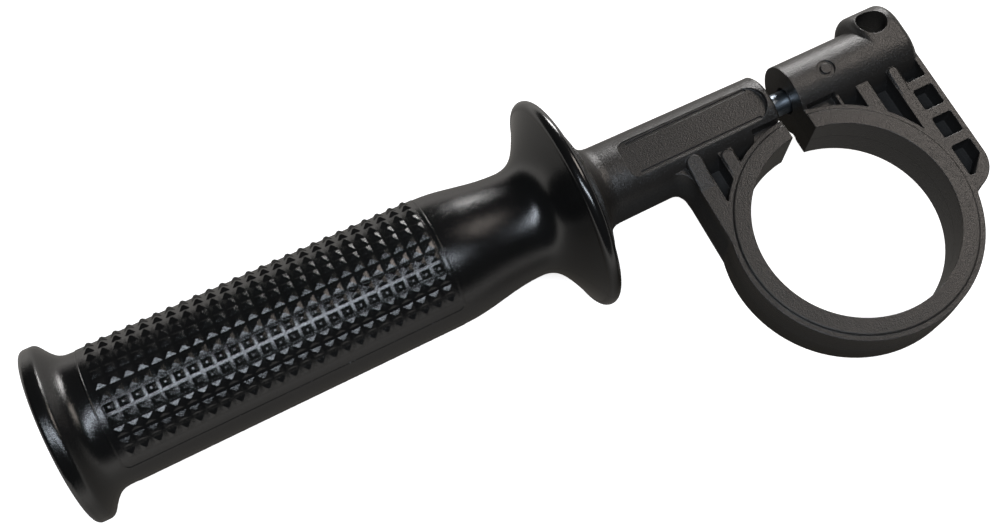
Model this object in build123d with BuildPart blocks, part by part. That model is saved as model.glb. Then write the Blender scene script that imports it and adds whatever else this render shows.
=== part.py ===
"""Side handle for a power tool: a split clamp ring on a moulded arm, tightened by turning the grip.

Sizes are in millimetres. The origin is the centre of the collar bore, halfway along it. Z runs along the
bore, X along the grip's axis from the grip towards the far boss, and Y from the bore up to that axis.
"""
import os

from build123d import *

os.makedirs("parts", exist_ok=True)

# Ring that closes on the tool's collar
bore_radius = 21.75
ring_wall = 5.0
ring_width = 12.0
rim_wall = 3.65
rim_step = 0.4
rim_chamfer = 0.25
split_width = 5.6
split_offset = 0.5
draft_angle = 2.0

# Axis of the grip, the bolt, the arm and the far boss
axis_height = 32.0

# Tie bolt and the parts on it
thread_radius = 3.0
shank_radius = 2.6
bolt_clearance = 0.15
bolt_reach = 16.2
thread_length = 13.0
head_across_flats = 10.0
head_thickness = 4.0
head_clearance = 0.1
thread_clearance = 0.05
bolt_chamfer = 0.6
insert_radius = 5.0
insert_length = 10.0
insert_depth = 4.7
insert_groove_width = 2.0
insert_groove_depth = 0.7
blind_allowance = 2.0
washer_radius = 9.0
washer_thickness = 1.6
washer_proud = 0.3
washer_clearance = 0.3

# Near arm, from its base disc to the split
arm_length = 46.5
arm_base_radius = 8.7
arm_end_radius = 8.2
arm_edge_chamfer = 0.5
base_disc_radius = 15.5
base_disc_thickness = 1.7
base_step_radius = 13.6
base_step_width = 0.7
flare_length = 4.6

# Recess on the near arm, left bare, with a thin groove along each side
badge_length = 34.0
badge_height = 8.6
badge_floor = 7.1
badge_inset = 1.2
badge_corner = 2.2
badge_groove_length = 29.0
badge_groove_width = 0.6
badge_groove_depth = 0.35
badge_groove_margin = 0.75
badge_groove_inset = 2.4

# Far boss, with the body that carries the depth rod
boss_radius = 8.0
boss_length = 29.3
boss_edge_fillet = 1.6
rod_body_fillet = 2.0
rod_body_length = 10.1
rod_body_rise = 3.2
rod_hole_radius = 3.3
rod_hole_inset = 5.6
rod_hole_height = 5.7
gate_mark_inset = 8.5
gate_mark_radius = 1.95
gate_mark_depth = 0.45
gate_pip_radius = 1.2

# Webs that tie the arm and the boss to the ring, cored from both faces
core_floor = 1.0
core_corner = 0.5
core_clearance = 0.35
near_wall_offset = 0.9
near_wall_margin = 0.5
near_wall_width = 4.0
near_rib_width = 3.3
near_core_width = 3.7
near_core2_width = 5.5
near_core_height = 16.9
near_fillet = 3.5
web_lap = 3.0
far_core_widths = (6.9, 4.3, 4.6)
far_rib_widths = (1.0, 0.7, 3.1)
undercut_floor = 3.6
undercut_rise = 0.5

# Ribs that rise onto the arm and the boss: drop of the top below the axis, and half thickness there
near_wall_rise = (4.7, 7.3)
near_rib_rise = (6.3, 6.2)
far_rib_rise = (5.3, 6.25)
rise_foot_drop = 12.5
rise_inset = 0.15
rise_edge = 0.3

# Outer gusset with its ladder of pockets
gusset_wall = 1.3
ladder_width = 4.7
ladder_rib = 2.25
ladder_count = 4
ladder_top_drop = 10.0
ladder_top_pocket = 5.1
ladder_last_height = 3.85
lug_radius = 7.0
lug_height = 1.2
lug_fillet = 2.0
lug_pocket_depth = 2.4
lug_pocket_flat = 1.2

# Grip, measured from its hub face towards the end flange
grip_length = 114.3
barrel_end_radius = 14.36
barrel_near_radius = 13.95
barrel_near_distance = 31.0
barrel_end_width = 8.8
waist_radius = 11.75
waist_distance = 12.9
guard_radius = 23.4
guard_lip = 1.5
guard_back_gap = 0.4
guard_foot_radius = 15.2
guard_foot_distance = 7.0
guard_core_depth = 3.5
guard_wall = 2.6
hub_radius = 14.0
end_flange_radius = 18.75
end_lip = 1.0
end_rim_width = 2.3
end_flare_width = 3.95
end_flare_drop = 1.15
end_foot_width = 5.5
end_foot_rise = 1.25
core_mouth_radius = 8.6
core_radius = 7.8
head_distance = 10.9
head_pocket_depth = 4.8
mouth_chamfer = 1.0

# Pointed relief of the barrel, one field of points on each half
relief_pitch = 2.83
relief_margin = 2.535
relief_rows = 12
relief_row_angle = 10.0
relief_height = 0.72
relief_depth = 0.25
relief_bed = 0.6
relief_root = 1.2

# Places worked out from the sizes above
ring_radius = bore_radius + ring_wall
rim_radius = bore_radius + rim_wall
half_width = ring_width / 2
web_half = half_width - rim_step
split_near = split_offset - split_width / 2
split_far = split_offset + split_width / 2
seat_x = split_near - arm_length
boss_end = split_far + boss_length
hub_x = seat_x - washer_proud
bolt_clear_radius = thread_radius + bolt_clearance
bolt_end = split_far + bolt_reach
insert_start = split_far + insert_depth
insert_end = insert_start + insert_length
near_wall = ring_radius - near_wall_offset
core_radius_on_ring = ring_radius - core_clearance
reach = 4 * ring_width

grip_axis = Axis((0, axis_height, 0), (1, 0, 0))
axis_plane = Plane((0, axis_height, 0))


def across(x, facing=1):
    """Plane square to the grip's axis at x, with its normal along X in the given sense."""
    return Plane(origin=(x, axis_height, 0), x_dir=(0, facing, 0), z_dir=(facing, 0, 0))


def box_between(x_low, x_high, y_low, y_high):
    """Rectangle of the current sketch between two corners."""
    with Locations(((x_low + x_high) / 2, (y_low + y_high) / 2)):
        Rectangle(x_high - x_low, y_high - y_low)


def insert_outline(inner_radius):
    """Turning outline of the threaded insert, with the groove that keys it in the boss."""
    groove_start = insert_start + insert_length / 2 - insert_groove_width / 2
    groove_end = groove_start + insert_groove_width
    groove_radius = insert_radius - insert_groove_depth
    return (
        (insert_start, inner_radius),
        (insert_start, insert_radius),
        (groove_start, insert_radius),
        (groove_start, groove_radius),
        (groove_end, groove_radius),
        (groove_end, insert_radius),
        (insert_end, insert_radius),
        (insert_end, inner_radius),
    )


# Places of the ribs, cores and pockets
near_core_left = -near_wall + near_wall_width
near_core_right = near_core_left + near_core_width
near_core2_left = near_core_right + near_rib_width
near_undercut_left = near_core2_left + near_core2_width
undercut_top = core_radius_on_ring + undercut_rise
far_core_left = []
core_edge = split_far
for rib, width in zip(far_rib_widths, far_core_widths):
    core_edge += rib
    far_core_left.append(core_edge)
    core_edge += width
ladder_right = boss_end - gusset_wall
ladder_left = ladder_right - ladder_width
ladder_first = axis_height - ladder_top_drop
ladder_last = lug_height + ladder_last_height
ladder_pitch = (ladder_first - ladder_last - ladder_rib) / (ladder_count - 2)
lug_centre = (boss_end - lug_radius, lug_height)
rod_body_start = boss_end - rod_body_length
rod_hole_x = boss_end - rod_hole_inset
rod_hole_y = axis_height + rod_hole_height
arm_underside = axis_height - arm_end_radius
web_top = axis_height + web_lap

# Far boss: a taller body round the depth-rod hole, and the round boss that runs into it
with BuildPart() as far_boss:
    with BuildSketch(across(rod_body_start)):
        with Locations((rod_body_rise / 2, 0)):
            SlotCenterToCenter(rod_body_rise, 2 * boss_radius)
    extrude(amount=rod_body_length)
    fillet(far_boss.faces().sort_by(Axis.X)[-1].edges(), boss_edge_fillet)
    fillet(far_boss.faces().sort_by(Axis.X)[0].edges(), rod_body_fillet)
    with BuildSketch(across(split_far)):
        Circle(boss_radius)
    extrude(amount=boss_length - rod_body_length / 2)


# Ribs that rise onto the arm and the boss
def rising_rib(left, right, top_drop, top_half):
    """Rib that fills the web between left and right and rises off both its faces to a rounded top."""
    foot = axis_height - rise_foot_drop
    top = axis_height - top_drop
    width = right - left - 2 * rise_inset
    with BuildPart() as rib:
        with BuildSketch(Plane.YZ.offset(left + rise_inset)):
            with BuildLine():
                Polyline((foot, web_half), (top, top_half), (top, -top_half), (foot, -web_half), close=True)
            make_face()
        extrude(amount=width)
        fillet(rib.faces().sort_by(Axis.Y)[-1].edges().filter_by(Axis.Z), width / 2 - rise_inset)
        for face in (rib.faces().sort_by(Axis.Z)[0], rib.faces().sort_by(Axis.Z)[-1]):
            chamfer(face.edges().filter_by(lambda e: e.center().Y > foot + rise_edge), rise_edge)
    return rib.part


rising_ribs = [
    rising_rib(-near_wall, near_core_left, *near_wall_rise),
    rising_rib(near_core_right, near_core2_left, *near_rib_rise),
    rising_rib(core_edge, ladder_left, *far_rib_rise),
]


# Clamp body: ring, webs, near arm and far boss in one moulding
with BuildPart() as clamp_body:
    # Plate of the ring and the webs, drafted both ways from the parting plane
    with BuildSketch() as plate:
        Circle(ring_radius)
        box_between(-near_wall, 0, 0, web_top)
        box_between(0, boss_end, lug_height, web_top)
        with Locations(lug_centre):
            Circle(lug_radius)
        lug_corner = plate.vertices().filter_by(lambda v: v.Y < 0).sort_by(Axis.X)[-1]
        fillet(lug_corner, lug_fillet)
    extrude(amount=web_half, both=True, taper=draft_angle)

    # Raised rims on both faces of the ring
    with BuildSketch(Plane.XY.offset(-half_width)) as rim:
        Circle(rim_radius)
    extrude(amount=ring_width)
    rim_edges = clamp_body.edges().filter_by(GeomType.CIRCLE).filter_by(
        lambda e: abs(e.radius - rim_radius) < 0.01 and abs(abs(e.center().Z) - half_width) < 0.01)
    chamfer(rim_edges, rim_chamfer)

    # Cores cut into both faces down to the middle web
    for side in (1, -1):
        core_plane = Plane.XY.offset(side * core_floor)
        with BuildSketch(core_plane) as cores:
            box_between(near_core_left, near_core_right, axis_height - near_core_height, axis_height)
            box_between(near_core2_left, near_undercut_left, 0, axis_height)
            for left, width in zip(far_core_left, far_core_widths):
                box_between(left, left + width, 0, axis_height)
            fillet(cores.vertices(), core_corner)
            Circle(core_radius_on_ring, mode=Mode.SUBTRACT)
        extrude(amount=side * (web_half + rim_step), mode=Mode.SUBTRACT)
        with BuildSketch(core_plane) as ladder:
            box_between(ladder_left, ladder_right, ladder_first, ladder_first + ladder_top_pocket)
            for step in range(1, ladder_count - 1):
                pocket_bottom = ladder_first - step * ladder_pitch
                box_between(ladder_left, ladder_right, pocket_bottom,
                            pocket_bottom + ladder_pitch - ladder_rib)
            with BuildLine():
                Polyline(
                    (ladder_left, -lug_pocket_depth),
                    (ladder_left + lug_pocket_flat, -lug_pocket_depth),
                    (ladder_right, lug_height),
                    (ladder_right, ladder_last),
                    (ladder_left, ladder_last),
                    close=True,
                )
            make_face()
            fillet(ladder.vertices(), core_corner)
            Circle(core_radius_on_ring, mode=Mode.SUBTRACT)
        extrude(amount=side * (web_half + rim_step), mode=Mode.SUBTRACT)

    # Near arm with its flared base disc, turned about the grip's axis
    with BuildSketch(axis_plane) as arm_profile:
        with BuildLine():
            flare_start = seat_x + base_disc_thickness + base_step_width
            arm_edge_foot = (split_near - arm_edge_chamfer, arm_end_radius)
            Polyline(
                arm_edge_foot,
                (split_near, arm_end_radius - arm_edge_chamfer),
                (split_near, 0),
                (seat_x, 0),
                (seat_x, base_disc_radius),
                (seat_x + base_disc_thickness, base_disc_radius),
                (seat_x + base_disc_thickness, base_step_radius),
                (flare_start, base_step_radius),
            )
            flare_end = (flare_start + flare_length, arm_base_radius)
            Spline((flare_start, base_step_radius), flare_end, tangents=((0.45, -1), (1, -0.02)))
            Line(flare_end, arm_edge_foot)
        make_face()
    revolve(axis=grip_axis)

    # Rounded corner between the near wall and the arm, and what grows out of the webs
    wall_corner = clamp_body.edges().filter_by(
        lambda e: abs(e.center().X + near_wall) < near_wall_margin and e.center().Y > arm_underside)
    fillet(wall_corner, near_fillet)
    add(far_boss.part)
    add(rising_ribs)

    # Shallow cuts beside the split, into the undersides of the arm and the boss
    for side in (1, -1):
        with BuildSketch(Plane.XY.offset(side * undercut_floor)):
            box_between(near_undercut_left, split_near, 0, undercut_top)
            box_between(far_core_left[0], far_core_left[0] + far_core_widths[0], 0, undercut_top)
            Circle(core_radius_on_ring, mode=Mode.SUBTRACT)
        extrude(amount=side * boss_radius, mode=Mode.SUBTRACT)

    # Split through the ring between the arm and the boss
    with BuildSketch(Plane.XY):
        box_between(split_near, split_far, 0, 2 * axis_height)
    extrude(amount=reach, both=True, mode=Mode.SUBTRACT)

    # Collar bore, bolt hole, insert seat and depth-rod hole
    Hole(bore_radius)
    with BuildSketch(across(seat_x)):
        Circle(bolt_clear_radius)
    extrude(amount=bolt_end + blind_allowance - seat_x, mode=Mode.SUBTRACT)
    with BuildSketch(axis_plane):
        with BuildLine():
            Polyline(*insert_outline(0), close=True)
        make_face()
    revolve(axis=grip_axis, mode=Mode.SUBTRACT)
    with Locations((rod_hole_x, rod_hole_y, 0)):
        Hole(rod_hole_radius)

    # Bare badge recess with its two grooves
    badge_right = split_near - badge_inset
    badge_left = badge_right - badge_length
    with BuildSketch(Plane.XY.offset(badge_floor)) as badge:
        box_between(badge_left, badge_right - badge_height / 2, axis_height - badge_height / 2,
                    axis_height + badge_height / 2)
        fillet(badge.vertices().group_by(Axis.X)[0], badge_corner)
        with Locations((badge_right - badge_height / 2, axis_height)):
            Circle(badge_height / 2)
    extrude(amount=arm_base_radius, mode=Mode.SUBTRACT)
    groove_offset = badge_height / 2 - badge_groove_margin
    with BuildSketch(Plane.XY.offset(badge_floor - badge_groove_depth)):
        for sense in (1, -1):
            with Locations((badge_left + badge_groove_inset + badge_groove_length / 2,
                            axis_height + sense * groove_offset)):
                SlotOverall(badge_groove_length, badge_groove_width)
    extrude(amount=arm_base_radius, mode=Mode.SUBTRACT)

    # Moulding gate mark on the boss
    with BuildSketch(Plane.XY.offset(boss_radius - gate_mark_depth)):
        with Locations((split_far + gate_mark_inset, axis_height)):
            Circle(gate_mark_radius)
            Circle(gate_pip_radius, mode=Mode.SUBTRACT)
    extrude(amount=boss_radius, mode=Mode.SUBTRACT)

clamp_body.part.label = "clamp_body"
export_step(clamp_body.part, "parts/clamp_body.step")


# Threaded insert moulded into the far boss
with BuildPart() as threaded_insert:
    with BuildSketch(axis_plane):
        with BuildLine():
            Polyline(*insert_outline(thread_radius + thread_clearance), close=True)
        make_face()
    revolve(axis=grip_axis)

threaded_insert.part.label = "threaded_insert"
export_step(threaded_insert.part, "parts/threaded_insert.step")


# Thrust washer, set in the grip's hub and bearing on the arm's base disc
with BuildPart() as thrust_washer:
    with BuildSketch(across(seat_x, -1)):
        Circle(washer_radius)
        Circle(bolt_clear_radius, mode=Mode.SUBTRACT)
    extrude(amount=washer_thickness)

thrust_washer.part.label = "thrust_washer"
export_step(thrust_washer.part, "parts/thrust_washer.step")


# Grip: end flange, barrel, waist, guard and hub, turned in one profile, with pointed relief on the barrel
end_x = hub_x - grip_length
washer_back = seat_x - washer_thickness
head_seat = hub_x - head_distance
guard_back = hub_x - guard_back_gap
guard_front = guard_back - 2 * guard_lip
barrel_end = (end_x + barrel_end_width, barrel_end_radius)
barrel_near = (hub_x - barrel_near_distance, barrel_near_radius)
waist = (hub_x - waist_distance, waist_radius)
guard_foot = (hub_x - guard_foot_distance, guard_foot_radius)
guard_shoulder = (guard_front, guard_radius - guard_lip)
flange_corner = (end_x + end_lip, end_flange_radius)
flange_rim = (end_x + end_rim_width, end_flange_radius)
flange_flare = (end_x + end_flare_width, end_flange_radius - end_flare_drop)
flange_foot = (end_x + end_foot_width, barrel_end_radius + end_foot_rise)
core_outer_radius = guard_radius - guard_wall
core_floor_radius = (core_outer_radius + hub_radius) / 2
barrel_slope = (barrel_near[1] - barrel_end[1]) / (barrel_near[0] - barrel_end[0])
relief_start = barrel_end[0] + relief_margin
relief_columns = int((barrel_near[0] - relief_start) / relief_pitch)
relief_end = relief_start + relief_columns * relief_pitch
relief_sector = relief_rows * relief_row_angle
relief_first = 90 - relief_sector / 2


def barrel_radius(x):
    """Radius of the barrel's skin at x."""
    return barrel_end[1] + barrel_slope * (x - barrel_end[0])


def relief_face(*places):
    """Flat face through points of the relief, each given by its column, its row and its lift off the skin."""
    corners = []
    for column, row, lift in places:
        x = relief_start + column * relief_pitch
        angle = relief_first + row * relief_row_angle
        spoke = Vector(0, barrel_radius(x) + lift, 0).rotate(Axis.X, angle)
        corners.append(Vector(x, axis_height, 0) + spoke)
    return Face(Wire.make_polygon(corners))


def relief_field():
    """Closed block with one four-sided point for each column and row on top, and a sunk root."""
    low, root, last = -relief_depth, -relief_root, relief_columns
    faces = []
    for row in range(relief_rows):
        for column in range(relief_columns):
            corners = [(column, row), (column + 1, row), (column + 1, row + 1), (column, row + 1)]
            peak = (column + 0.5, row + 0.5, relief_height)
            for here, there in zip(corners, corners[1:] + corners[:1]):
                faces.append(relief_face((*here, low), (*there, low), peak))
        root_corners = [(0, row), (last, row), (last, row + 1), (0, row + 1)]
        faces.append(relief_face(*[(*corner, root) for corner in root_corners]))
        for column in (0, last):
            faces.append(relief_face((column, row, low), (column, row + 1, low), (column, row + 1, root),
                                     (column, row, root)))
    for row in (0, relief_rows):
        faces.append(relief_face((0, row, low), (last, row, low), (last, row, root), (0, row, root)))
    return Solid(Shell(faces))


relief = relief_field()

with BuildPart() as grip:
    with BuildSketch(axis_plane) as grip_profile:
        with BuildLine():
            Line((end_x, core_mouth_radius + mouth_chamfer), (end_x, end_flange_radius - end_lip))
            RadiusArc((end_x, end_flange_radius - end_lip), flange_corner, end_lip)
            Line(flange_corner, flange_rim)
            Spline(flange_rim, flange_flare, flange_foot, barrel_end, tangents=((1, 0), (1, 0)))
            Line(barrel_end, barrel_near)
            Spline(barrel_near, waist, tangents=((1, -0.02), (1, 0)))
            Spline(waist, guard_foot, guard_shoulder, tangents=((1, 0), (0.5, 1)))
            ThreePointArc(
                guard_shoulder,
                (guard_front + guard_lip, guard_radius),
                (guard_back, guard_radius - guard_lip),
            )
            Polyline(
                (guard_back, guard_radius - guard_lip),
                (guard_back, core_outer_radius),
                (hub_x - guard_core_depth, core_floor_radius),
                (hub_x - guard_core_depth, hub_radius),
                (hub_x, hub_radius),
                (hub_x, washer_radius + washer_clearance),
                (washer_back, washer_radius + washer_clearance),
                (washer_back, bolt_clear_radius),
                (head_seat - head_pocket_depth, bolt_clear_radius),
                (head_seat - head_pocket_depth, core_radius),
                (end_x + mouth_chamfer, core_mouth_radius),
                (end_x, core_mouth_radius + mouth_chamfer),
            )
        make_face()
    revolve(axis=grip_axis)
    with BuildSketch(across(head_seat, -1)):
        RegularPolygon(head_across_flats / 2 + head_clearance, 6, major_radius=False)
    extrude(amount=head_pocket_depth, mode=Mode.SUBTRACT)

    # Bed in the skin of each half, and the field of points that fills it
    for half_turn in (0, 180):
        with BuildSketch(axis_plane.rotated((relief_first + half_turn, 0, 0))):
            with BuildLine():
                Polyline(
                    (relief_start, barrel_radius(relief_start) - relief_bed),
                    (relief_end, barrel_radius(relief_end) - relief_bed),
                    (relief_end, barrel_radius(relief_end) + relief_height),
                    (relief_start, barrel_radius(relief_start) + relief_height),
                    close=True,
                )
            make_face()
        revolve(axis=grip_axis, revolution_arc=relief_sector, mode=Mode.SUBTRACT)
        add(relief.rotate(grip_axis, half_turn))

grip.part.label = "grip"
export_step(grip.part, "parts/grip.step")


# Tie bolt: hexagon head held in the grip, plain shank, and a thicker threaded end in the insert
with BuildPart() as tie_bolt:
    with BuildSketch(across(head_seat, -1)):
        RegularPolygon(head_across_flats / 2, 6, major_radius=False)
    extrude(amount=head_thickness)
    with BuildSketch(across(head_seat)):
        Circle(shank_radius)
    extrude(amount=bolt_end - head_seat)
    with BuildSketch(across(bolt_end, -1)):
        Circle(thread_radius)
    extrude(amount=thread_length)
    chamfer(tie_bolt.faces().sort_by(Axis.X)[-1].edges(), bolt_chamfer)

tie_bolt.part.label = "tie_bolt"
export_step(tie_bolt.part, "parts/tie_bolt.step")
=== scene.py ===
# %% [markdown]
# A power tool's side handle, lying on a pale floor as it would be photographed for a parts list.
# The solids of the clamp, the grip, the bolt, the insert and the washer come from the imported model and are
# kept as they are. This lesson adds what a mould and a plating bath leave on them: the blunt skin over the
# pointed relief, the thin line that frames it, the thread of the bolt, and the finish of every surface.
# Each added piece is worked out with numpy, so that its sizes can be read and changed in one place.

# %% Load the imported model
import math

import bpy
import numpy as np
from mathutils import Matrix, Vector


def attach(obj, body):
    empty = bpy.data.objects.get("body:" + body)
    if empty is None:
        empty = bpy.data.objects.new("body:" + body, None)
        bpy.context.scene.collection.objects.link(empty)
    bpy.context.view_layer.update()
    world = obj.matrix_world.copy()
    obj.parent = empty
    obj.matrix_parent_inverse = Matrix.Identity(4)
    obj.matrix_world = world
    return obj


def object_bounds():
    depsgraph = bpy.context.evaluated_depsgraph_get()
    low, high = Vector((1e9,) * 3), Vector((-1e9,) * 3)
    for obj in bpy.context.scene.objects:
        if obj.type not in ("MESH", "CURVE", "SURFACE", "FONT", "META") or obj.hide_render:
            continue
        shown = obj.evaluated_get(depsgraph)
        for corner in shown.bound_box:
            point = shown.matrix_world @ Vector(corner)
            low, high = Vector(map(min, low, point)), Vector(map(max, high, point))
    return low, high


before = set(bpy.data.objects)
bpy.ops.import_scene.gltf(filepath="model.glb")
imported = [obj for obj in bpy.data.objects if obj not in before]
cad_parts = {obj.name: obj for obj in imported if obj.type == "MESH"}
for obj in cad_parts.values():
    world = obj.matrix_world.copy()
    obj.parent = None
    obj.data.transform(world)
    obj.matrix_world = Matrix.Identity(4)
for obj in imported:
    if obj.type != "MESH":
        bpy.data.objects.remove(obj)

MM = 0.001
cad_low, cad_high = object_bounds()
print("CAD nodes:", sorted(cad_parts))

# %% [markdown]
# Every added piece of the grip is wrapped on its barrel. A flat pattern could be made first and bent with a
# modifier, but a point on a round part has a simple place of its own: how far along the axis it is, how far
# round, and how far out. So the pieces are written in those three numbers, and one function turns them into
# X, Y and Z. The sizes are the same as those of the solids, in millimetres: the height of the grip's axis
# over the centre of the bore, and place and radius of the two ends of the slightly tapered barrel.

# %% Sizes shared with the solids
AXIS_HEIGHT = 32.0
BARREL_END = (-154.6, 14.36)
BARREL_NEAR = (-80.1, 13.95)


def barrel_radius(x):
    """Radius of the barrel at x: a straight line between its two ends."""
    slope = (BARREL_NEAR[1] - BARREL_END[1]) / (BARREL_NEAR[0] - BARREL_END[0])
    return BARREL_END[1] + slope * (x - BARREL_END[0])


def round_grip(x, angle, radius):
    """Point at x, turned by angle about the grip's axis from +Y towards +Z, at that radius.

    Y is the axis height plus radius times cosine, and Z is radius times sine.
    """
    y = AXIS_HEIGHT + radius * np.cos(angle)
    z = radius * np.sin(angle)
    return np.stack(np.broadcast_arrays(x, y, z), axis=-1)


print("barrel radius at mid-length:", round(float(barrel_radius(-117.0)), 2))

# %% [markdown]
# A mesh needs only two arrays: where the points are, and which points each face joins. Blender's editing
# operators could add faces one at a time, but they are slow and hide the shape. The first helper writes both
# arrays in one go. The second joins the points of a grid into quads, and closes the grid where its surface
# runs back into itself. The third names a piece by its half of the grip, because the mould has two halves
# and most of the pieces come in pairs.

# %% From arrays to a mesh


def mesh_from_arrays(name, points, faces, smooth=True):
    """Object made of an array of points in millimetres and an array of faces, all of the same size."""
    mesh = bpy.data.meshes.new(name)
    mesh.from_pydata((points * MM).tolist(), [], faces.tolist())
    mesh.polygons.foreach_set("use_smooth", np.full(len(faces), smooth))
    mesh.update()
    piece = bpy.data.objects.new(name, mesh)
    bpy.context.collection.objects.link(piece)
    return piece


def grid_faces(rows, columns, close_rows=False):
    """Quads between neighbours of a grid of rows x columns points, numbered row by row."""
    row = np.arange(rows if close_rows else rows - 1)
    r, c = np.meshgrid(row, np.arange(columns - 1), indexing="ij")
    r2 = (r + 1) % rows
    corners = (r * columns + c, r * columns + c + 1, r2 * columns + c + 1, r2 * columns + c)
    return np.stack(corners, axis=-1).reshape(-1, 4)


def half_mesh(name, points, faces, sense):
    """Mesh on one half of the grip: sense +1 is the half towards +Z, and -1 turns the quads the other way."""
    side = "front" if sense > 0 else "back"
    return mesh_from_arrays(f"{name}_{side}", points.reshape(-1, 3), faces[:, ::sense])


print("quads in a closed 8 x 5 band:", len(grid_faces(8, 5, close_rows=True)))

# %% [markdown]
# The relief of the grip is a field of four-sided points, one field on each half of the mould. The solid has
# them as sharp points that meet in valleys. The photograph shows a narrow flat land between them and tops
# that look blunt, so the scene lays a skin of that form over the solid's points: a sheet for the lands, just
# over the valleys, and a blunt pyramid over each point. An array modifier or a displaced sheet could repeat
# the points, but neither keeps their edges straight on a tapered barrel. Here the eight corners of all of
# them are worked out together, which is quick, exact, and needs only five faces for each point.

# %% Pointed relief of the grip
POINT_PITCH = 2.83
POINT_FIRST = -150.65
POINT_COLUMNS = 25
POINT_ANGLES = np.radians(np.arange(35.0, 146.0, 10.0))
POINT_FOOT_ALONG = 2.28
POINT_FOOT_ROUND = 1.86
POINT_TOP = 0.42
POINT_HEIGHT = 0.75
POINT_SINK = 0.01


def relief_points():
    """Corner points of every blunt pyramid.

    A foot or a top is half its width to either side of the pyramid's centre, along the barrel and round it.
    The feet are sunk a little under the skin, and the tops stand over it by the height.
    """
    x = POINT_FIRST + POINT_PITCH * np.arange(POINT_COLUMNS)
    angle = np.concatenate([POINT_ANGLES, -POINT_ANGLES])
    x, angle = np.meshgrid(x, angle, indexing="ij")
    x, angle = x.reshape(-1, 1), angle.reshape(-1, 1)
    corner_x = np.array([-1, 1, 1, -1, -1, 1, 1, -1]) / 2
    corner_t = np.array([-1, -1, 1, 1, -1, -1, 1, 1]) / 2
    width_x = np.array([POINT_FOOT_ALONG] * 4 + [POINT_TOP] * 4)
    width_t = np.array([POINT_FOOT_ROUND] * 4 + [POINT_TOP] * 4)
    lift = np.array([-POINT_SINK] * 4 + [POINT_HEIGHT] * 4)
    radius = barrel_radius(x)
    along = x + corner_x * width_x
    turned = angle + corner_t * width_t / radius
    return round_grip(along, turned, radius + lift).reshape(-1, 3)


def relief_faces(count):
    """Four sloping sides and a top for each group of eight corner points, all wound to face outwards."""
    one = np.array([[4, 5, 1, 0], [5, 6, 2, 1], [6, 7, 3, 2], [7, 4, 0, 3], [7, 6, 5, 4]])
    return (one[None] + 8 * np.arange(count)[:, None, None]).reshape(-1, 4)


relief_corners = relief_points()
relief = mesh_from_arrays("grip_relief", relief_corners, relief_faces(len(relief_corners) // 8))
print("relief points:", len(relief_corners) // 8)

# %% [markdown]
# In the photograph the sides of the points catch the light as slopes of about 17 degrees would. Those of the
# solid slope 34 to 39 degrees, so its points are probably about twice as high as the real ones. This was
# seen after the solids were finished. Lower points would be the true mend, but they belong in the solid, and
# the skin can't be lower than what it covers. So this cell is a stand-in that changes only the shading: it
# gives each side the normal of the shallower slope. The light then falls much as in the photograph, but the
# outline still has the solid's height. A side's normal is the radius at its corner, turned by the soft tilt
# towards the way that the side faces, and the normal of a top is the radius itself.

# %% Soft shading of the points
POINT_SOFT_TILT = math.radians(17.5)
SIDE_LEAN = 0.3


def soften_points(piece):
    """Shading normals of the pyramids: radius times the tilt's cosine plus side direction times its sine.

    The side direction is the part of the face's normal across the radius. A face with less of it than
    SIDE_LEAN is a top.
    """
    mesh = piece.data
    points = np.empty(len(mesh.vertices) * 3)
    mesh.vertices.foreach_get("co", points)
    corner = np.empty(len(mesh.loops), dtype=int)
    mesh.loops.foreach_get("vertex_index", corner)
    facing = np.empty(len(mesh.polygons) * 3)
    mesh.polygons.foreach_get("normal", facing)
    facing = np.repeat(facing.reshape(-1, 3), 4, axis=0)
    outward = points.reshape(-1, 3)[corner] - np.array([0.0, AXIS_HEIGHT * MM, 0.0])
    outward[:, 0] = 0.0
    outward /= np.linalg.norm(outward, axis=1, keepdims=True)
    side = facing - outward * np.sum(facing * outward, axis=1, keepdims=True)
    lean = np.linalg.norm(side, axis=1, keepdims=True)
    tilt = np.where(lean > SIDE_LEAN, POINT_SOFT_TILT, 0.0)
    normal = outward * np.cos(tilt) + side / np.maximum(lean, 1e-6) * np.sin(tilt)
    mesh.normals_split_custom_set(normal.tolist())


soften_points(relief)
print("soft tilt of the points in degrees:", round(math.degrees(POINT_SOFT_TILT), 1))

# %% [markdown]
# The lands are what is left of the plain barrel between the points. The solid has sharp valleys there, so
# the lands are a sheet a hair over them. Cutting the valleys away would change the solid, and a sheet that
# covers the field needs no cut. Its rim is sunk into the barrel, so that no open edge shows.

# %% Lands between the points
LAND_LIFT = 0.015
LAND_SINK = 0.03
LAND_MARGIN = 0.12
LAND_STEPS = 60
LAND_EDGE = math.radians(5.0)


def land_sheet(sense):
    """Skin between the points of one half: radius of the barrel plus a small lift, with its rim sunk in."""
    half = POINT_PITCH / 2
    span = POINT_PITCH * (POINT_COLUMNS - 1)
    x = np.linspace(POINT_FIRST - half, POINT_FIRST + span + half, LAND_STEPS)
    angle = np.linspace(POINT_ANGLES[0] - LAND_EDGE, POINT_ANGLES[-1] + LAND_EDGE, LAND_STEPS)
    x = np.concatenate([[x[0] - LAND_MARGIN], x, [x[-1] + LAND_MARGIN]])
    rim = LAND_MARGIN / BARREL_END[1]
    angle = np.concatenate([[angle[0] - rim], angle, [angle[-1] + rim]])
    lift = np.full((len(x), len(angle)), LAND_LIFT)
    lift[[0, -1], :] = -LAND_SINK
    lift[:, [0, -1]] = -LAND_SINK
    x, angle = np.meshgrid(x, angle, indexing="ij")
    points = round_grip(x, sense * angle, barrel_radius(x) + lift)
    return half_mesh("relief_land", points, grid_faces(*x.shape), sense)


lands = [land_sheet(1), land_sheet(-1)]
print("land quads:", [len(land.data.polygons) for land in lands])

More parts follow.
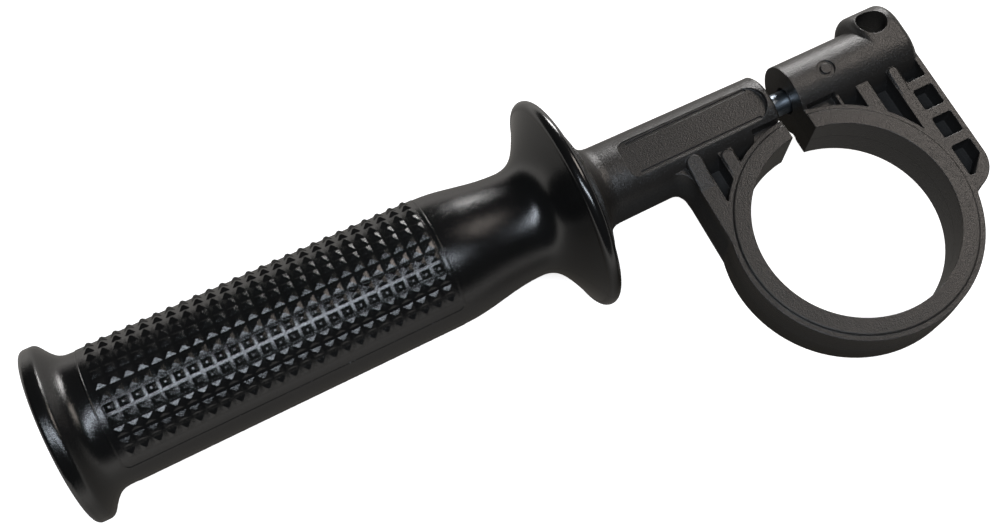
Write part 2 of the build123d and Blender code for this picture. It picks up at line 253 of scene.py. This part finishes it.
# %% [markdown]
# A thin raised line frames each field of points, probably the edge of an insert in the mould. A curve with
# a bevel could draw it, but a curve knows nothing of the barrel. So it is a low ridge swept along a
# rectangle with rounded corners, and that rectangle is wrapped on the barrel: one parameter runs round the
# frame and the other across the ridge, whose height is half a cosine wave.

# %% Frame lines round the relief
FRAME_X = (-153.5, -80.4)
FRAME_ANGLES = (20.0, 160.0)
FRAME_CORNER = 1.5
CORNER_STEPS = 9
SIDE_STEPS = 40
RIDGE_WIDTH = 0.5
RIDGE_HEIGHT = 0.15
RIDGE_SINK = 0.05


def rounded_frame(half_length, half_height):
    """Points and outward directions of a rectangle whose corners are quarter circles.

    A corner point is the centre of its quarter circle plus the corner radius times the outward direction.
    """
    quarter = np.linspace(0, math.pi / 2, CORNER_STEPS)
    turn = (np.arange(4)[:, None] * math.pi / 2 + quarter).ravel()
    sign_x = np.repeat([1, -1, -1, 1], CORNER_STEPS)
    sign_y = np.repeat([1, 1, -1, -1], CORNER_STEPS)
    outward = np.stack([np.cos(turn), np.sin(turn)], axis=-1)
    centre_x = sign_x * (half_length - FRAME_CORNER)
    centre_y = sign_y * (half_height - FRAME_CORNER)
    corners = np.stack([centre_x, centre_y], axis=-1) + FRAME_CORNER * outward
    return fill_sides(corners, outward)


def fill_sides(corners, outward):
    """The same outline with each straight side cut into short runs, so that it bends round the barrel.

    A point on a side is the end of one corner plus its share of the way to the start of the next.
    """
    share = np.linspace(0, 1, SIDE_STEPS, endpoint=False)[1:, None]
    runs, ways = [], []
    for start in range(0, len(corners), CORNER_STEPS):
        corner = slice(start, start + CORNER_STEPS)
        leave = corners[corner][-1]
        reach = corners[(start + CORNER_STEPS) % len(corners)]
        runs += [corners[corner], leave + share * (reach - leave)]
        ways += [outward[corner], np.repeat(outward[corner][-1:], len(share), axis=0)]
    return np.concatenate(runs), np.concatenate(ways)


def frame_line(sense):
    """Low ridge along one half's frame: barrel radius plus half a cosine wave, less the sink."""
    middle_x = sum(FRAME_X) / 2
    half_length = (FRAME_X[1] - FRAME_X[0]) / 2
    mean_radius = barrel_radius(middle_x)
    half_height = math.radians(FRAME_ANGLES[1] - FRAME_ANGLES[0]) / 2 * mean_radius
    path, outward = rounded_frame(half_length, half_height)
    across = np.linspace(-1, 1, 7)
    lift = RIDGE_HEIGHT * np.cos(across * math.pi / 2) - RIDGE_SINK
    flat = path[:, None] + outward[:, None] * across[None, :, None] * RIDGE_WIDTH / 2
    x = middle_x + flat[..., 0]
    angle = sense * (math.pi / 2 - flat[..., 1] / mean_radius)
    points = round_grip(x, angle, barrel_radius(x) + lift)
    return half_mesh("frame_line", points, grid_faces(*points.shape[:2], close_rows=True), sense)


frame_lines = [frame_line(1), frame_line(-1)]
print("frame line quads:", [len(line.data.polygons) for line in frame_lines])

# %% [markdown]
# The bolt's thread shows in the split once the grip is screwed out. The solid is a plain cylinder at nearly
# the crest, so the crest is laid over it as a helix, low enough to clear the bore of the insert. A Screw
# modifier could sweep it too. As an array it is one line: the ridge climbs one pitch in each turn about the
# axis, and its four points across are two feet just under the cylinder and a narrow flat top.

# %% Thread of the bolt
THREAD_PITCH = 1.0
THREAD_START = 7.0
THREAD_TURNS = 11
THREAD_ROOT = 2.97
THREAD_CREST = 3.045
CREST_HALF = 0.07
FOOT_HALF = 0.36
TURN_STEPS = 40


def thread_ridge():
    """Helical ridge: x grows by one pitch a turn, and the section across it is a low trapezium.

    The rise fades in and out over half a turn at the ends, as a cut thread runs out.
    """
    step = np.arange(THREAD_TURNS * TURN_STEPS + 1)
    angle = 2 * math.pi * step / TURN_STEPS
    centre = THREAD_START + THREAD_PITCH * angle / (2 * math.pi)
    fade = np.minimum(1, np.minimum(step, step[::-1]) / (TURN_STEPS / 2))
    offset = np.array([-FOOT_HALF, -CREST_HALF, CREST_HALF, FOOT_HALF])
    rise = np.array([0, 1, 1, 0]) * (THREAD_CREST - THREAD_ROOT)
    points = round_grip(centre[:, None] + offset, angle[:, None], THREAD_ROOT + rise * fade[:, None])
    faces = grid_faces(len(angle), len(offset))[:, ::-1]
    return mesh_from_arrays("bolt_thread", points.reshape(-1, 3), faces)


thread = thread_ridge()
print("thread quads:", len(thread.data.polygons))

# %% [markdown]
# A material is a tree of nodes, and a tree built node by node is hard to read. Shader maths reads best as
# plain expressions. The small class below wraps one socket, so that a sum of two of them adds a Math node,
# and each operator has its reflected form, so that 1 - mask works as well as mask - 1.

# %% A socket in an expression


class Wire:
    """One output socket that can stand in a Python expression."""

    def __init__(self, finish, socket):
        self.finish = finish
        self.socket = socket

    def maths(self, operation, left, right=None, clamp=False):
        """A Math node of that operation on one or two values."""
        settings = {"operation": operation, "use_clamp": clamp}
        values = {0: left} if right is None else {0: left, 1: right}
        return self.finish.node("ShaderNodeMath", settings, values)

    def __add__(self, other):
        return self.maths("ADD", self, other)

    def __radd__(self, other):
        return self.maths("ADD", other, self)

    def __sub__(self, other):
        return self.maths("SUBTRACT", self, other)

    def __rsub__(self, other):
        return self.maths("SUBTRACT", other, self)

    def __mul__(self, other):
        return self.maths("MULTIPLY", self, other)

    def __rmul__(self, other):
        return self.maths("MULTIPLY", other, self)

    def __truediv__(self, other):
        return self.maths("DIVIDE", self, other)

    def __rtruediv__(self, other):
        return self.maths("DIVIDE", other, self)

    def __pow__(self, other):
        return self.maths("POWER", self, other)

    def __rpow__(self, other):
        return self.maths("POWER", other, self)

    def above(self, edge, width):
        """0 below edge, 1 above edge + width, and a straight ramp between."""
        return self.maths("MULTIPLY", self - edge, 1 / width, clamp=True)

    def at_least(self, other):
        """The larger of the value and the other one."""
        return self.maths("MAXIMUM", self, other)

    def at_most(self, other):
        """The smaller of the value and the other one."""
        return self.maths("MINIMUM", self, other)

    def size(self):
        """The value without its sign."""
        return self.maths("ABSOLUTE", self)

    def fraction(self):
        """What is left of the value without its whole number."""
        return self.maths("FRACT", self)


print("operators of a wire: + - * / ** and their reflected forms")

# %% [markdown]
# The second class is one material. Its node method makes any node from a type, its settings and the values
# or links of its sockets, and the other methods are the few patterns that all these finishes share. All of
# them read object coordinates, which are the same as the solids' own, so a pattern runs on from one
# piece to the next and stays in place when the part moves.

# %% A material as a set of methods
BEVEL_SAMPLES = 6


class Finish:
    """A procedural material of one surface: its node tree and the nodes that are in it."""

    def __init__(self, name, roughness=0.5, metallic=0.0):
        self.material = bpy.data.materials.new(name)
        self.material.use_nodes = True
        self.tree = self.material.node_tree
        self.shader = self.tree.nodes["Principled BSDF"]
        self.set("Roughness", roughness)
        self.set("Metallic", metallic)

    def link(self, target, value):
        """Sets a socket from a number or a colour, or links it to another socket."""
        if isinstance(value, Wire):
            self.tree.links.new(value.socket, target)
        else:
            target.default_value = value

    def set(self, socket, value):
        """Sets or links one socket of the shader."""
        self.link(self.shader.inputs[socket], value)

    def node(self, kind, settings=None, inputs=None, output=0):
        """A node of that type, with its settings made first and then its inputs, as a Wire of one output."""
        made = self.tree.nodes.new(kind)
        for key, value in (settings or {}).items():
            setattr(made, key, value)
        for key, value in (inputs or {}).items():
            self.link(made.inputs[key], value)
        return Wire(self, made.outputs[output])

    def place(self):
        """Object coordinates, in metres, in the same frame as the solids."""
        return self.node("ShaderNodeTexCoord", output="Object")

    def along(self):
        """The three object coordinates in millimetres, as three Wires."""
        split = self.node("ShaderNodeSeparateXYZ", None, {"Vector": self.place()})
        outputs = split.socket.node.outputs
        return [Wire(self, outputs[axis]) * (1 / MM) for axis in "XYZ"]

    def noise(self, size_mm, detail=2.0, rough=0.5):
        """Soft noise, 0 to 1, with features of about that size."""
        inputs = {"Vector": self.place(), "Scale": 1 / (size_mm * MM), "Detail": detail, "Roughness": rough}
        return self.node("ShaderNodeTexNoise", None, inputs, output="Fac")

    def mix(self, share, low, high):
        """Colour between low and high by that share."""
        inputs = {"Factor": share, 6: low, 7: high}
        return self.node("ShaderNodeMix", {"data_type": "RGBA"}, inputs, output=2)

    def bump(self, height, depth_mm, edge_mm=0.0):
        """Surface relief: a height of 0 to 1 stands for that depth, and edges are rounded to a radius."""
        inputs = {"Height": height, "Distance": depth_mm * MM, "Strength": 1.0}
        if edge_mm:
            settings = {"samples": BEVEL_SAMPLES}
            rounded = self.node("ShaderNodeBevel", settings, {"Radius": edge_mm * MM}, output="Normal")
            inputs["Normal"] = rounded
        self.set("Normal", self.node("ShaderNodeBump", None, inputs, output="Normal"))


def grey(level, warmth=0.0):
    """Linear grey of that level, a little red for a positive warmth and a little blue for a negative one."""
    return (level * (1 + warmth), level, level * (1 - warmth), 1.0)


print("a warm dark grey:", [round(v, 4) for v in grey(0.019, 0.07)])

# %% [markdown]
# The clamp looks like glass-filled nylon from a spark-eroded mould: nearly black, a little warm, and satin.
# A plain dark shader would look like rubber. What makes it nylon is the grain, which breaks each highlight
# into specks, so one noise makes the pits of the eroded mould and a finer one makes the specks. A slow noise
# is the cloudiness of the filled plastic. The cores and pockets look darker and duller than the faces, so
# painted shade darkens their colour below the faces, and their gloss is duller there too. A thin seam is
# added where the two halves of the mould would meet. The edges of the solid are sharp, and moulded ones
# aren't, so a Bevel node rounds them, in the shading only.

# %% Clamp plastic
WEB_FACE = 3.2
WEB_FADE = 2.5
CORE_EDGE = 26.6
CORE_EDGE_FADE = 0.3
CORE_TOP = 25.5
CORE_TOP_FADE = 0.8
CORE_DULLNESS = 0.35
SEAM_HALF = 0.16
GRAIN_DEPTH = 0.13
EDGE_RADIUS = 0.3

clamp_finish = Finish("clamp_moulding")
pits = clamp_finish.noise(0.42, detail=3.0, rough=0.6)
specks = clamp_finish.noise(0.19, detail=1.0)
cloud = clamp_finish.noise(9.0, detail=3.0)
clamp_x, clamp_y, clamp_z = clamp_finish.along()
from_bore = (clamp_x * clamp_x + clamp_y * clamp_y) ** 0.5
core_shade_mask = from_bore.above(CORE_EDGE, CORE_EDGE_FADE) * (CORE_TOP - clamp_y).above(0, CORE_TOP_FADE)
core_shade_mask = core_shade_mask * (WEB_FACE + WEB_FADE - clamp_z.size()).above(0, WEB_FADE)
skin = clamp_finish.mix(cloud * 0.6 + pits * 0.4, grey(0.010, 0.08), grey(0.019, 0.07))
# painted shade: the colour of the cores and pockets is mixed towards a near black
clamp_finish.set("Base Color", clamp_finish.mix(core_shade_mask * 0.7, skin, grey(0.008)))
clamp_finish.set("Roughness", 0.26 + cloud * 0.06 + pits * 0.08 + core_shade_mask * CORE_DULLNESS)
clamp_seam = (SEAM_HALF - clamp_z.size()).above(0, SEAM_HALF)
clamp_finish.bump(pits * 0.6 + specks * 0.4 + clamp_seam * 0.4, GRAIN_DEPTH, EDGE_RADIUS)
print("clamp finish nodes:", len(clamp_finish.tree.nodes))

# %% [markdown]
# The grip is black plastic with more gloss. An orange-peel grain of soft dimples breaks its long reflections
# into sparkles. It could be a texture of its own for the barrel, the waist and the neck, but a mould has no
# borders there, so a single noise covers them and only its strength changes along the axis: strongest at
# the waist, a little weaker on the barrel, and weak on the neck and guard, whose reflections look sharper.

# %% Grip plastic
GRAIN_END = -62.0
GRAIN_FADE = 6.0
BARREL_FADE = 2.0
BARREL_GRAIN = 1.0
WAIST_GRAIN = 1.1
NECK_GRAIN = 0.25
PEEL_DEPTH = 0.04

grip_finish = Finish("grip_moulding")
peel = grip_finish.noise(0.2, detail=1.5, rough=0.55)
haze = grip_finish.noise(14.0)
grip_x, grip_y, grip_z = grip_finish.along()
on_waist = (GRAIN_END - grip_x).above(-GRAIN_FADE, GRAIN_FADE)
on_barrel = (BARREL_NEAR[0] - grip_x).above(0, BARREL_FADE)
grained = NECK_GRAIN + on_waist * (WAIST_GRAIN - NECK_GRAIN) - on_barrel * (WAIST_GRAIN - BARREL_GRAIN)
grip_finish.set("Base Color", grip_finish.mix(haze, grey(0.004), grey(0.008)))
grip_finish.set("Roughness", 0.15 + haze * 0.05)
grip_seam = (SEAM_HALF - grip_z.size()).above(0, SEAM_HALF)
grip_finish.bump(peel * grained + grip_seam * 1.2, PEEL_DEPTH)
print("grip finish nodes:", len(grip_finish.tree.nodes))

# %% [markdown]
# What shows of the bolt in the split looks zinc plated: dull steel with a trace of blue. Turning marks are
# added round it, from a noise that is stretched along the circumference by squeezing its place along X.
# Real flanks would be cut about 0.6 mm into the bolt, but its solid is a plain cylinder that stays as it
# is, so a bump of half that depth hints at them. It needs a ramp that climbs one pitch in each turn: the
# place along X in pitches, less the turn about the axis, without the whole turns. Folded at its middle, the
# ramp is the two flanks.

# %% Zinc-plated steel
THREAD_DEPTH = 0.3
THREAD_FADE = 0.4
MARK_SCALE = (9000.0, 250.0, 250.0)

zinc_finish = Finish("zinc_steel", metallic=1.0)
squeezed = {"Vector": zinc_finish.place(), "Scale": MARK_SCALE}
mark_place = zinc_finish.node("ShaderNodeMapping", None, squeezed, output="Vector")
mark_noise = {"Vector": mark_place, "Scale": 1.0, "Detail": 3.0}
marks = zinc_finish.node("ShaderNodeTexNoise", None, mark_noise, output="Fac")
zinc_finish.set("Base Color", zinc_finish.mix(marks, (0.24, 0.28, 0.33, 1), (0.36, 0.41, 0.46, 1)))
zinc_finish.set("Roughness", 0.26 + marks * 0.16)
bolt_x, bolt_y, bolt_z = zinc_finish.along()
turn_share = bolt_z.maths("ARCTAN2", bolt_z, bolt_y - AXIS_HEIGHT) / (2 * math.pi)
climb = (bolt_x / THREAD_PITCH - turn_share).fraction()
flank = (climb - 0.5).size() * 2.0
thread_end = THREAD_START + THREAD_PITCH * THREAD_TURNS
threaded = (bolt_x - THREAD_START).above(0, THREAD_FADE) * (thread_end - bolt_x).above(0, THREAD_FADE)
zinc_finish.bump(flank * threaded + marks * 0.015, THREAD_DEPTH)
print("zinc finish nodes:", len(zinc_finish.tree.nodes))

# %% [markdown]
# The insert and the washer are guesses, in plain turned steel, and don't show in the photograph. A flat grey
# would do for most views, but such parts are seldom even, so one noise varies their colour and their gloss
# together.

# %% Plain steel
plain_finish = Finish("plain_steel", metallic=1.0)
patches = plain_finish.noise(0.8, detail=4.0)
plain_finish.set("Base Color", plain_finish.mix(patches, grey(0.36, 0.03), grey(0.52, 0.02)))
plain_finish.set("Roughness", 0.3 + patches * 0.2)
plain_finish.bump(patches, 0.01)
print("plain steel nodes:", len(plain_finish.tree.nodes))

# %% [markdown]
# Each solid keeps its own mesh and only gets its material. The added pieces take the slot of the plastic or
# the steel that they belong to, and ride on the handle, which carries the grip and the bolt. Parenting them
# to the solids would work too, but the ride is what the exported model reads.

# %% Dress the solids and let the new pieces ride
NODE_FINISH = {
    "clamp_body": clamp_finish,
    "threaded_insert": plain_finish,
    "thrust_washer": plain_finish,
    "grip": grip_finish,
    "tie_bolt": zinc_finish,
}
for node, finish in NODE_FINISH.items():
    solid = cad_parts[node]
    solid.data.materials.clear()
    solid.data.materials.append(finish.material)

for piece in [relief, *lands, *frame_lines]:
    piece.data.materials.append(grip_finish.material)
    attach(piece, "handle")
thread.data.materials.append(zinc_finish.material)
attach(thread, "handle")
print("dressed:", ", ".join(NODE_FINISH))

# %% [markdown]
# The floor is a pale sheet just under the lowest point of the guard. The camera sees it washed out to white
# by a glow of its own. Stronger lamps would whiten it too, but they would wash out the plastic as well. The
# glow is most of that white, so the object's shadow on it is very weak: it clips to white nearly everywhere
# in this view, as in the photograph, which has none, and shows faintly from behind. What the plastic
# mirrors is the same sheet in the object's shade: dim and warm close by, and brighter further out.

# %% Floor
FLOOR_GLOW = 0.86
FLOOR_GAP = 0.4
FLOOR_HALF = 3000.0
SHADE_START = 8.0
SHADE_WIDTH = 150.0
SHADE_CURVE = 0.9
BORE_MIDDLE = 24.0
BORE_OPENNESS = 7.0
GRIP_TIP = -163.4

floor_finish = Finish("studio_floor", roughness=0.9)
floor_finish.set("Base Color", (0.8, 0.79, 0.78, 1))
floor_finish.set("Emission Color", (1.0, 0.995, 0.99, 1))
floor_finish.set("Emission Strength", FLOOR_GLOW)
floor_x, floor_y, floor_z = floor_finish.along()
# painted shadow: the glow that the plastic mirrors is dim and warm near the grip and the ring, and bright
# further out and inside the ring
from_grip = (floor_y - AXIS_HEIGHT).size() + (GRIP_TIP - floor_x).at_least(0) + floor_x.at_least(0)
from_ring = (floor_x * floor_x + floor_y * floor_y) ** 0.5 - BORE_MIDDLE
from_ring = from_ring.at_least(from_ring * -BORE_OPENNESS)
open_floor = from_grip.at_most(from_ring).above(SHADE_START, SHADE_WIDTH) ** SHADE_CURVE
painted_shade_colour = floor_finish.mix(open_floor, (0.052, 0.046, 0.038, 1), (1.0, 0.97, 0.93, 1))
shade = floor_finish.node("ShaderNodeEmission", None, {"Color": painted_shade_colour}, output="Emission")
seen = floor_finish.node("ShaderNodeLightPath", output="Is Camera Ray")
lit = Wire(floor_finish, floor_finish.shader.outputs["BSDF"])
shown = floor_finish.node("ShaderNodeMixShader", None, {0: seen, 1: shade, 2: lit})
floor_finish.link(floor_finish.tree.nodes["Material Output"].inputs["Surface"], shown)

floor_level = cad_low.z / MM - FLOOR_GAP
floor_corner = np.array([[-1, -1], [1, -1], [1, 1], [-1, 1]]) * FLOOR_HALF
floor_points = np.column_stack([floor_corner, np.full(4, floor_level)])
floor = mesh_from_arrays("floor", floor_points, np.array([[0, 1, 2, 3]]), smooth=False)
floor.data.materials.append(floor_finish.material)
print("floor at mm:", round(floor_level, 2))

# %% [markdown]
# The light is soft and comes from three panels. A long narrow one near the camera draws the bluish streak
# down the barrel, which runs where the skin faces halfway between that panel and the lens. A lower one
# beyond the far boss lights the upper edges of the boss, the arm and the points near the waist. A warm one
# on the right brightens the face of the ring. A picture of a room could light the part as well, but three
# panels can each be moved until its highlight falls where it should. The world is dim, so that the black
# plastic stays black.

# %% Light
WORLD_LEVEL = 0.025
AIM = Vector((-65, 20, 0)) * MM

world = bpy.data.worlds.new("studio")
bpy.context.scene.world = world
world.use_nodes = True
world.node_tree.nodes["Background"].inputs["Color"].default_value = (1, 1, 1, 1)
world.node_tree.nodes["Background"].inputs["Strength"].default_value = WORLD_LEVEL


def panel(name, place_mm, size_mm, watts, colour):
    """Rectangular light at that place, facing the middle of the part."""
    light = bpy.data.lights.new(name, "AREA")
    light.shape = "RECTANGLE"
    light.size, light.size_y = (side * MM for side in size_mm)
    light.energy = watts
    light.color = colour
    lamp = bpy.data.objects.new(name, light)
    lamp.location = Vector(place_mm) * MM
    lamp.rotation_euler = (AIM - lamp.location).to_track_quat("-Z", "Y").to_euler()
    bpy.context.collection.objects.link(lamp)
    return lamp


lamps = [
    panel("camera_side", (-120, -82, 345), (300, 40), 0.95, (0.82, 0.90, 1.0)),
    panel("far_side", (200, 400, 110), (160, 100), 1.3, (1.0, 0.98, 0.97)),
    panel("right_side", (245, 105, 335), (150, 150), 0.6, (1.0, 0.9, 0.82)),
]
print("lights:", [lamp.name for lamp in lamps])

# %% [markdown]
# The camera looks down at the part from the side of the end flange, as in the photograph. It could be
# moved by eye until the outline fits, but circles say more: the bore, the guard and the end flange are
# seen as ellipses. The place, the turn and the lens below were fitted to them and to the edges of the grip
# and the arm. The ellipses came out within about half a pixel on average, and the long edges of the grip,
# which fit less closely, within about one and a half.

# %% Camera
CAMERA_PLACE = Vector((-117.913, -65.870, 267.476))
CAMERA_TURN = Matrix((
    (0.892466, 0.418021, -0.169597),
    (-0.451048, 0.833361, -0.319475),
    (0.007788, 0.361617, 0.932294),
))

camera_data = bpy.data.cameras.new("camera")
camera_data.sensor_width = 36.0
camera_data.lens = 49.8
camera_data.clip_start, camera_data.clip_end = 0.01, 20.0
camera = bpy.data.objects.new("camera", camera_data)
bpy.context.collection.objects.link(camera)
camera.matrix_world = Matrix.Translation(CAMERA_PLACE * MM) @ CAMERA_TURN.to_4x4()
bpy.context.scene.camera = camera
bpy.context.scene.view_settings.view_transform = "Standard"
print("camera height over the floor in mm:", round(CAMERA_PLACE.z - floor_level))
